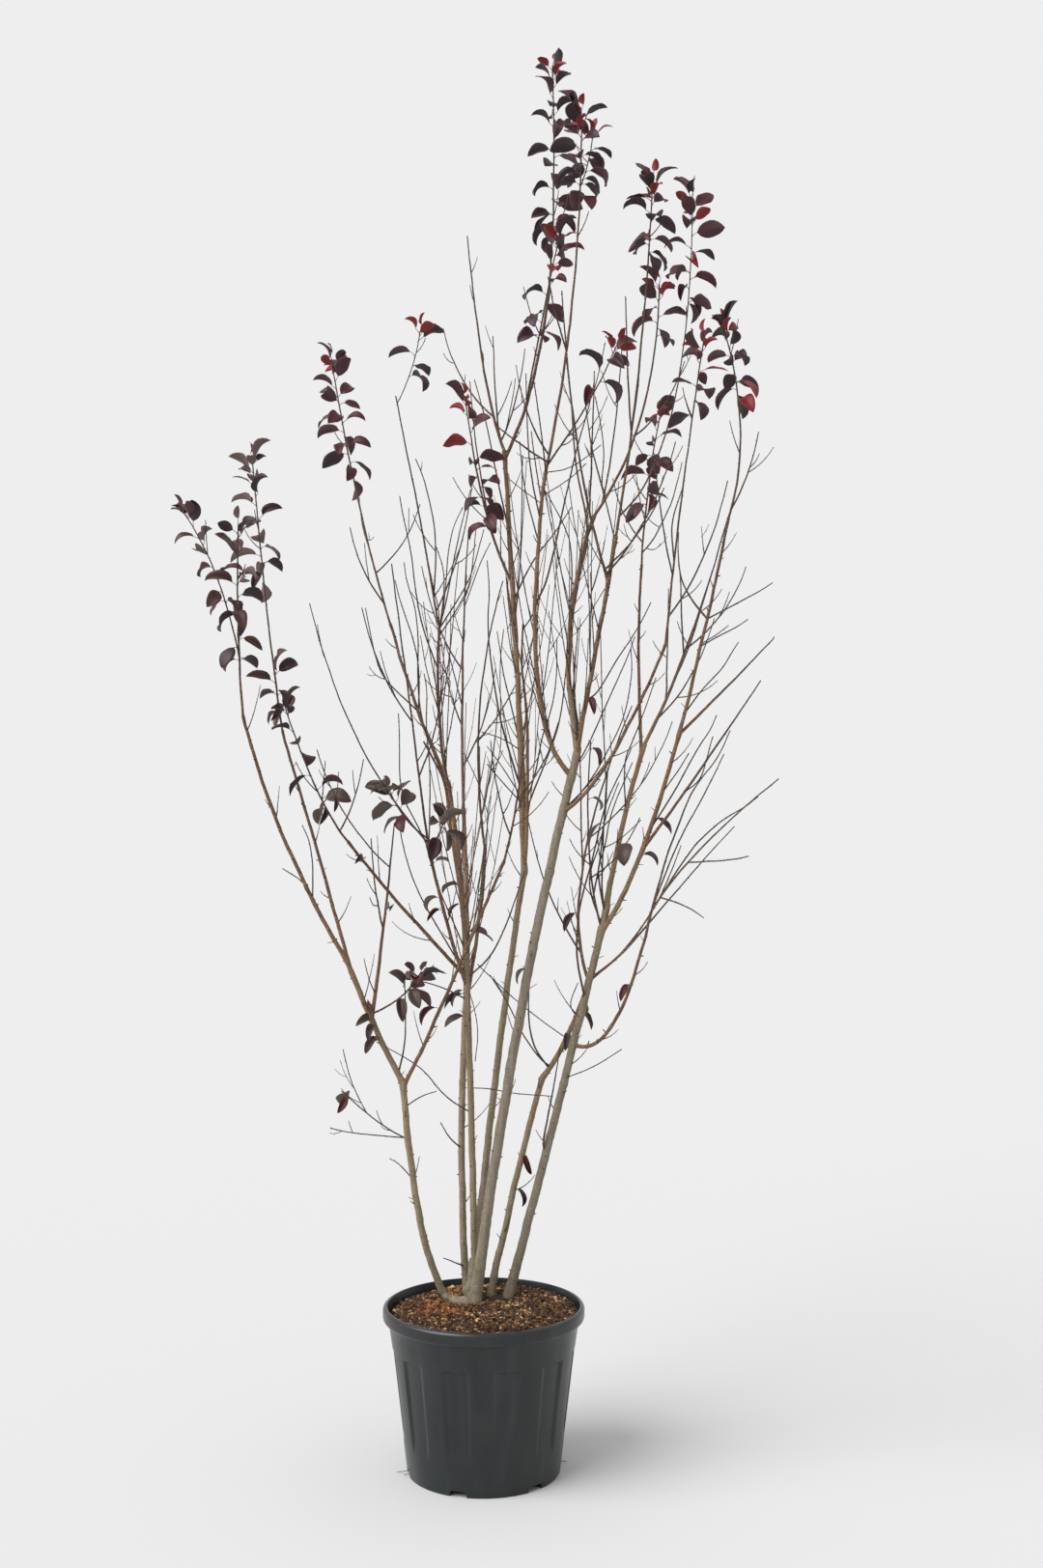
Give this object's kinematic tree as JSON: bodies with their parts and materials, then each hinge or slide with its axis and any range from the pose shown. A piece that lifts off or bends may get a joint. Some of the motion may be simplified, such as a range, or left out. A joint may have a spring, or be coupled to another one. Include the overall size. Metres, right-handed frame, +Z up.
{
  "type": "potted cherry plum",
  "caption": "Tall multi-stem cherry plum shrub in a ribbed black nursery pot, mostly bare, with purple leaves at its shoot tips.",
  "frame": {"origin": "middle of the pot's flat underside, on the surface that the pot stands on", "axes": "+Z up along the pot's axis, +X to the right of the front view, +Y to the back"},
  "size_m": [1.4361, 1.05, 3.4734],
  "materials": {
    "pot_plastic": "satin",
    "mulch": "matte",
    "stem_bark": "matte",
    "young_bark": "satin",
    "twig_bark": "satin",
    "leaf": "satin"
  },
  "bodies": {
    "root": {"bough_1_inner": "young_bark", "bough_1_left": "young_bark", "bough_1_outer": "young_bark", "bough_1_right": "young_bark", "bough_2_main": "young_bark", "bough_2_right": "young_bark", "bough_3_inner": "young_bark", "bough_3_kinked": "young_bark", "bough_3_left": "young_bark", "bough_3_main": "young_bark", "bough_3_tall": "young_bark", "bough_4_leader": "young_bark", "bough_4_top": "young_bark", "bough_5_left": "young_bark", "bough_5_mid": "young_bark", "bough_5_outer": "young_bark", "bough_5_right": "young_bark", "bough_6_bend": "young_bark", "bough_7_hook": "young_bark", "bough_7_main": "young_bark", "bough_7_right": "young_bark", "bough_7_right_up": "young_bark", "bough_7_up": "young_bark", "foliage_1_inner": "leaf", "foliage_1_outer": "leaf", "foliage_3_inner": "leaf", "foliage_3_kinked": "leaf", "foliage_3_left": "leaf", "foliage_3_tall": "leaf", "foliage_4_left": "leaf", "foliage_4_mid": "leaf", "foliage_4_top": "leaf", "foliage_5_mid": "leaf", "foliage_5_outer": "leaf", "foliage_5_right": "leaf", "foliage_5_tall": "leaf", "foliage_7_red": "leaf", "foliage_7_right": "leaf", "mulch": "mulch", "pot": "pot_plastic", "spray_1_low": "twig_bark", "spray_1_mid": "twig_bark", "stem_1": "stem_bark", "stem_2": "stem_bark", "stem_3": "stem_bark", "stem_4": "stem_bark", "stem_5": "stem_bark", "stem_6": "stem_bark", "stem_7": "stem_bark", "twigs_1_right": "twig_bark", "twigs_2_back": "twig_bark", "twigs_2_right": "twig_bark", "twigs_4_bare": "twig_bark", "twigs_5_right": "twig_bark", "twigs_6_back": "twig_bark", "twigs_7_dark": "twig_bark", "twigs_7_fan_high": "twig_bark", "twigs_7_fan_low": "twig_bark", "twigs_7_fan_mid": "twig_bark", "twigs_7_left": "twig_bark"}
  },
  "joints": []
}
